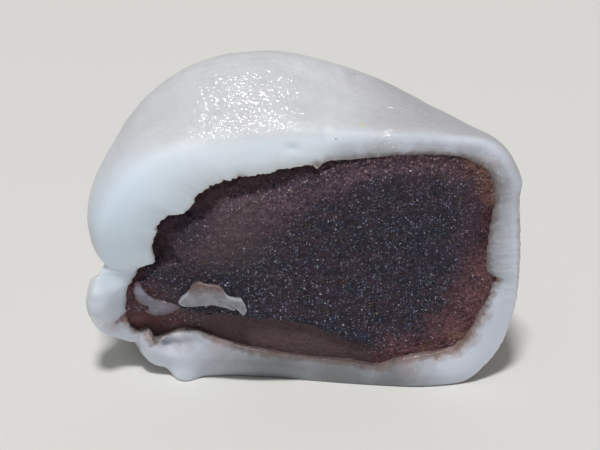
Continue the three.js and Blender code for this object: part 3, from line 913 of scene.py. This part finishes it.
def makePaste():
    angle = evenDirections(pasteOutline, cake["faceMiddle"], paste["columns"])
    grid, distance = pasteRows(angle, pasteReach(angle) + paste["overlap"])
    x, z = grid[..., 0], grid[..., 2]
    front = startsAt(distance, -2.0, 1.0)
    wander = layered(np.stack([x, np.zeros(x.shape), z], -1), paste["wander"])
    # the filling has drawn back from the skin at the top left
    corner = topLeft(np.broadcast_to(angle, x.shape)) * startsAt(z, 12, 6)
    least, wide = paste["drawnBackWidth"]
    width = least + corner * (wide + 1.1 * wander)
    share = np.clip(1 - distance / width, 0, 1)
    steps = 0.45 * ramp(share / 0.3) + 0.55 * ramp(share)
    drawnBack = paste["drawnBack"] * corner * steps - 0.12 * (1 - corner)
    line = np.interp(x, *np.transpose(paste["ledgeLine"])) + wander * 0.6
    below = endsAt(z, line, mix(0.5, 2.2, startsAt(x, -4, 10))) * endsAt(x, 13, 8)
    grid[..., 1] += front * (drawnBack + paste["ledgeDrop"] * below - bumps(paste["lumps"], x, z))
    upperPart = startsAt(z, 14, 8)
    topFade = 1 - 0.5 * startsAt(z, 26, 3) * endsAt(x, 20, 3)
    edgeWidth = mix(1.8, 4.5, startsAt(x, 8, 10))
    hazeWidth = mix(2.7, 2.3, startsAt(x, 4, 8))
    hazeShare = endsAt(x, 24, 6) * mix(0.65, 1.0, startsAt(x, -9, 7))
    upperLeft = mix(0.12, 1.0, startsAt(z, 14, 6)) * (1 - 0.65 * endsAt(x, -10.5, 3))
    lowerLeft = 0.8 * endsAt(x, -13, 3) * endsAt(z, 14.5, 3)
    marks = {
        "edge": (1 - ramp((distance + 1.5 * wander) / edgeWidth)) * topFade,
        "band": below * front,
        "recess": ramp(share * 2.5) * corner,
        "left": endsAt(x, 0, 8) * np.maximum(upperLeft, lowerLeft),
        "rim": np.exp(-(((distance - width) / 0.9 - 0.4) ** 2)) * endsAt(x, 14, 8) * upperPart,
        "haze": np.exp(-(((distance - width) / hazeWidth - 0.6) ** 2)) * upperPart * hazeShare,
        # painted shade: a dark line along the knife's last line, where painted glints also gather
        "ledge": np.exp(-(((line - z) / 0.5) ** 2)) * endsAt(x, 14, 4) * front,
    }
    piece = loftedPiece("beanPaste", grid, marks, pasteRelief)
    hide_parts("bean_paste")
    piece.data.materials.append(strainedPaste())
    print("bean paste", len(piece.data.vertices), "vertices")


def strainedPaste():
    material, tree, inputs = newMaterial(
        "strainedBeanPaste",
        Subsurface_Weight=0.15,
        Subsurface_Radius=(1.0, 0.5, 0.4),
        Subsurface_Scale=0.5 * mm,
        Specular_IOR_Level=0.22,
        IOR=1.45,
    )
    point = objectPoint(tree)
    along = objectPoint(tree, (paste["streakStretch"], 1, 1), (0, 0.06, 0))
    streak = rampNode(noiseNode(along, paste["streakSize"], roughness=0.6), 0.35, 0.6)
    clusters = rampNode(noiseNode(point, paste["clusterSize"], roughness=0.65), 0.4, 0.58)
    mottle = plus(times(streak, 0.6), times(clusters, 0.5))
    colour = mixColour(mottle, paste["brownColour"], paste["navyColour"])
    plum = rampNode(noiseNode(point, paste["plumSize"]), 0.45, 0.62, toHigh=0.7)
    colour = mixColour(plum, colour, paste["plumColour"])
    broken = rampNode(noiseNode(point, paste["brokenSize"]), 0.35, 0.65, 0.35, 1.0)
    amounts = {}
    for mark, ragged, strength, hue in paste["markTints"]:
        amounts[mark] = markNode(tree, mark)
        amount = times(amounts[mark], broken) if ragged else amounts[mark]
        colour = tinted(colour, amount, strength, paste[hue])
    for places, soft, strength, hue in paste["stretchTints"]:
        amounts[places] = spotsNode(point, paste[places], soft)
        colour = tinted(colour, amounts[places], strength, paste[hue])
    # ground fine: dark between the grains
    pits = noiseNode(point, paste["pitSize"], detail=5.0, roughness=0.85)
    pits = rampNode(pits, 0.38, 0.56, 0.92, 0.0)
    smooth = larger(amounts["band"], times(amounts["left"], 0.7))
    pits = times(pits, rampNode(smooth, 0, 1, 1.0, 0.35))
    colour = mixColour(pits, colour, paste["pitColour"])
    # painted glints: pale flecks stand for small damp grains that catch the light on the cut, in clusters
    dull = larger(amounts["band"], times(amounts["recess"], 0.85))
    for place, strength in paste["dulled"]:
        dull = larger(dull, times(amounts[place], strength))
    bare = times(inverse(dull), rampNode(clusters, 0, 1, 0.3, 1.0))
    # more painted glints along the shaded ledge
    wet = larger(spotsNode(point, paste["wetAndGlintPlaces"], 1.4), amounts["ledge"])
    bare = larger(bare, wet)
    warm = larger(amounts["edge"], amounts["haze"])
    paleGlint = mixColour(warm, paste["paleGlint"], paste["warmGlint"])
    coolGlint = mixColour(warm, paste["coolGlint"], paste["coolWarmGlint"])
    shaken = shakenPoint(point, *paste["shaken"])
    for size, dullShare in paste["paintedGlintFlecks"]:
        paintedGlint, paleness = fleckNode(shaken, size, dullShare, paste["glintEdge"])
        colour = tinted(colour, paintedGlint, bare, mixColour(paleness, coolGlint, paleGlint))
    # coarser, warmer crumbs along the upper edge
    crumbs, _ = fleckNode(shaken, *paste["crumbs"])
    crumbs = times(crumbs, spotsNode(point, paste["crumbPlaces"], 1.4))
    colour = tinted(colour, crumbs, 0.8, paste["crumbColour"])
    feed(colour, inputs["Base Color"])
    grain = noiseNode(point, paste["grainSize"], detail=4.0, roughness=0.65)
    feed(rampNode(grain, 0.3, 0.7, 0.35, 0.62), inputs["Roughness"])
    lumps = noiseNode(point, paste["lumpSize"], detail=2.0)
    feed(bumpNode(plus(grain, times(lumps, 1.5)), paste["grainHeight"]), inputs["Normal"])
    return material


# the two scraps of skin. proud: how far the top edge stands out of the cut, lean: how much further
# the rest stands out per mm below it, square: 2 is a round edge, more is squarer
scraps = {
    "tornFlap": {
        "node": "torn_flap",
        "outline": [
            (-14.7, 11.8), (-13.6, 13.2), (-12.9, 14.3), (-12.3, 14.7), (-11.3, 14.5), (-10.2, 14.4),
            (-9.5, 14.1), (-9.1, 13.4), (-8.5, 13.0), (-7.1, 12.7), (-6.6, 11.9), (-6.5, 11.4),
            (-6.9, 10.9), (-7.2, 11.5), (-7.5, 11.8), (-8.0, 11.5), (-9.3, 11.8), (-10.8, 11.9),
            (-12.3, 11.7), (-13.7, 11.5),
        ],
        "spine": [(-12.8, 12.9), (-8.5, 12.6)],
        "proud": 0.45,
        "lean": 0.28,
        "thick": 0.8,
        "square": 6.0,
        "stainFrom": 0.56,  # share of the height
        "colours": [(0.21, 0.21, 0.235), (0.29, 0.295, 0.34)],
        "rimColour": (0.40, 0.42, 0.48),
        "rimFrom": 0.86,  # share of the way out
    },
    "innerFold": {
        "node": "inner_fold",
        "outline": [
            (-19.9, 14.3), (-20.3, 13.0), (-20.1, 11.6), (-19.5, 10.4), (-18.8, 9.5), (-17.8, 9.0),
            (-16.3, 9.2), (-15.2, 9.9), (-14.5, 10.6), (-15.3, 11.1), (-16.4, 11.4), (-17.5, 11.7),
            (-18.3, 12.3), (-18.9, 13.2), (-19.3, 14.2),
        ],
        "spine": [(-19.5, 13.3), (-17.2, 10.9)],
        "proud": 0.34,
        "lean": 0.04,
        "thick": 1.2,
        "square": 2.6,
        "stainFrom": 0.85,
        "colours": [(0.17, 0.16, 0.21), (0.28, 0.285, 0.37)],
        "rimColour": (0.10, 0.055, 0.062),
        "rimFrom": 0.35,
    },
}
scrapShape = {
    "edgeSteps": 9,  # between two points of the outline
    "rows": 41,
    "unevenness": [(0.13, 1.2, 5), (0.08, 0.5, 2)],  # height, width of a bump, seed
    "stainColour": (0.14, 0.075, 0.065),
}


def scrapRelief(spots, normals, _):
    return spots + normals * layered(spots, scrapShape["unevenness"])[:, None]


def makeScrap(name, scrap):
    edge = closedCurve(scrap["outline"], scrapShape["edgeSteps"])
    x, z = edge.T
    if (x * np.roll(z, -1) - np.roll(x, -1) * z).sum() > 0:  # clockwise, so that the faces point out
        edge = edge[::-1]
        x, z = edge.T
    (ax, az), (bx, bz) = scrap["spine"]
    t = np.clip(((x - ax) * (bx - ax) + (z - az) * (bz - az)) / ((bx - ax) ** 2 + (bz - az) ** 2), 0, 1)
    core = np.stack([mix(ax, bx, t), mix(az, bz, t)], -1)
    top = z.max()
    rows, rims = [], []
    for turn in np.radians(np.linspace(-90, 90, scrapShape["rows"])):
        share = max(math.cos(turn), 0) ** (2 / scrap["square"])
        out = math.copysign(abs(math.sin(turn)) ** (2 / scrap["square"]), turn)
        x, z = (core + (edge - core) * share).T
        middle = setback(x, z) + scrap["thick"] / 2 - scrap["proud"] - scrap["lean"] * (top - z)
        rows.append(np.stack([x, middle - scrap["thick"] / 2 * out, z], -1))
        rims.append(np.full(len(x), share))
    rows[0][:], rows[-1][:] = rows[0].mean(0), rows[-1].mean(0)
    grid = np.array(rows)
    height = (grid[..., 2] - grid[..., 2].min()) / np.ptp(grid[..., 2])
    marks = {"high": np.clip(height, 0, 1), "rim": np.array(rims)}

    piece = loftedPiece(name, grid, marks, scrapRelief)
    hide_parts(scrap["node"])
    piece.data.materials.append(tornDough(name, scrap))


def tornDough(name, scrap):
    material, tree, inputs = newMaterial(
        name + "Dough",
        Subsurface_Weight=0.5,
        Subsurface_Radius=(1.0, 0.8, 0.75),
        Subsurface_Scale=0.5 * mm,
        Coat_Weight=0.5,
        Coat_Roughness=0.12,
        IOR=1.42,
    )
    point = objectPoint(tree)
    cloud = rampNode(noiseNode(point, 1.2), 0.35, 0.65)
    colour = mixColour(cloud, *scrap["colours"])
    rim = rampNode(markNode(tree, "rim"), scrap["rimFrom"], 1.0)
    colour = mixColour(rim, colour, scrap["rimColour"])
    ragged = centred(noiseNode(point, 0.7), 0.6)
    high = plus(markNode(tree, "high"), ragged)
    stained = rampNode(high, scrap["stainFrom"], scrap["stainFrom"] + 0.3, 0.0, 0.85)
    colour = mixColour(stained, colour, scrapShape["stainColour"])
    feed(colour, inputs["Base Color"])
    grain = noiseNode(point, 0.4, detail=4.0, roughness=0.6)
    feed(rampNode(grain, 0.3, 0.7, 0.25, 0.45), inputs["Roughness"])
    feed(bumpNode(grain, 0.05), inputs["Normal"])
    feed(bumpNode(noiseNode(point, 0.6, detail=1.0), 0.3), inputs["Coat Normal"])
    return material


# floor, light and camera
studio = {
    "floorColour": (0.735, 0.733, 0.715),
    "floorSize": 3.0,  # half its width, in m
    "skyColour": (1.0, 0.98, 0.95),
    "skyStrength": 0.26,
    "lampColour": (1.0, 0.99, 0.98),
    "lampDistance": 2.5,  # in m
    "lamps": [  # name, azimuth, elevation, size in m, power in W, does it show in wet places only
        ("overhead", -12.0, 70.0, 0.42, 46.0, False),
        ("catchLeft", -62.0, 70.0, 0.28, 7.0, True),
        ("catchTop", -80.0, 77.0, 0.26, 7.0, True),
        ("catchRight", 138.0, 61.0, 0.2, 7.0, True),
    ],
    "distance": 244.4,  # of the camera, in mm
    "azimuth": -3.0,
    "elevation": 28.0,
    "target": (0.0, 0.0, 22.56),  # in the cut's own frame
    "focalLength": 123.24,
    "sensorWidth": 36.0,
    "nearest": 0.01,  # that the camera shows, in m
}


def towards(azimuth, elevation):  # azimuth 0 is in front, - is to the left
    a, e = math.radians(azimuth), math.radians(elevation)
    return Vector((math.sin(a) * math.cos(e), -math.cos(a) * math.cos(e), math.sin(e)))


def aimed(name, data, place, view):  # an object that looks along the view
    thing = bpy.data.objects.new(name, data)
    thing.location = place
    thing.rotation_euler = view.to_track_quat("-Z", "Y").to_euler()
    bpy.context.scene.collection.objects.link(thing)
    return thing


def makeFloor():
    bm = bmesh.new()
    bmesh.ops.create_grid(bm, x_segments=1, y_segments=1, size=studio["floorSize"])
    mesh = bpy.data.meshes.new("floor")
    bm.to_mesh(mesh)
    bm.free()
    floor = bpy.data.objects.new("floor", mesh)
    bpy.context.scene.collection.objects.link(floor)
    colour = (*studio["floorColour"], 1)
    material, *_ = newMaterial("palePaper", Base_Color=colour, Roughness=0.7, Specular_IOR_Level=0.0)
    mesh.materials.append(material)


def makeLights():
    world = bpy.data.worlds.new("studio")
    world.use_nodes = True
    sky = world.node_tree.nodes["Background"]
    sky.inputs["Color"].default_value = (*studio["skyColour"], 1)
    sky.inputs["Strength"].default_value = studio["skyStrength"]
    bpy.context.scene.world = world
    for name, azimuth, elevation, size, power, wetOnly in studio["lamps"]:
        data = bpy.data.lights.new(name, "AREA")
        data.shape = "DISK"
        data.size = size
        data.energy = power
        data.color = studio["lampColour"]
        place = towards(azimuth, elevation) * studio["lampDistance"]
        lamp = aimed(name, data, place, -place)
        lamp.visible_diffuse = not wetOnly


def makeCamera():
    back = towards(studio["azimuth"], studio["elevation"])
    target = Vector((np.array(studio["target"]) + cutToFrame) * mm)
    data = bpy.data.cameras.new("camera")
    data.lens = studio["focalLength"]
    data.sensor_width = studio["sensorWidth"]
    data.clip_start = studio["nearest"]
    bpy.context.scene.camera = aimed("camera", data, target + back * studio["distance"] * mm, -back)
    bpy.context.scene.view_settings.view_transform = "Standard"


makeSkin()
makePaste()
for scrapName, scrap in scraps.items():
    makeScrap(scrapName, scrap)
print("scraps of skin")
makeFloor()
makeLights()
makeCamera()
print("studio ready")
